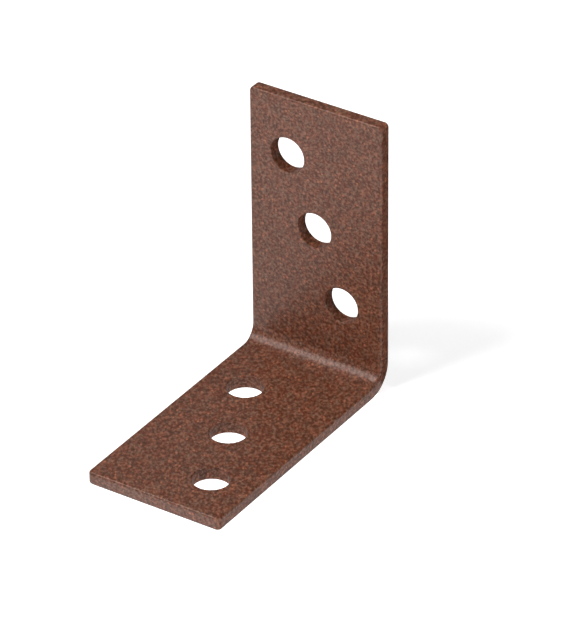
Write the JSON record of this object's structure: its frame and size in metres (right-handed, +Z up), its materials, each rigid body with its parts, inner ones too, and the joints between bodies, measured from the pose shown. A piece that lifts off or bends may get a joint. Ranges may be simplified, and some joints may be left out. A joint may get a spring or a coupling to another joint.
{
  "type": "corner brace bracket",
  "caption": "Steel strip folded square into two equal legs, each with a slanting row of round screw holes, for stiffening the inside of a corner joint.",
  "frame": {"origin": "middle of the footprint, on the plane that the base leg rests on", "axes": "+Z up along the upright, +Y towards the upright from the base leg's free end, X across the strip"},
  "size_m": [0.038, 0.075, 0.075],
  "materials": {
    "textured_coat": "fine-textured copper-brown powder coat, low sheen, with small dark and coppery flecks"
  },
  "bodies": {
    "root": {"bracket": "textured_coat"}
  },
  "joints": []
}
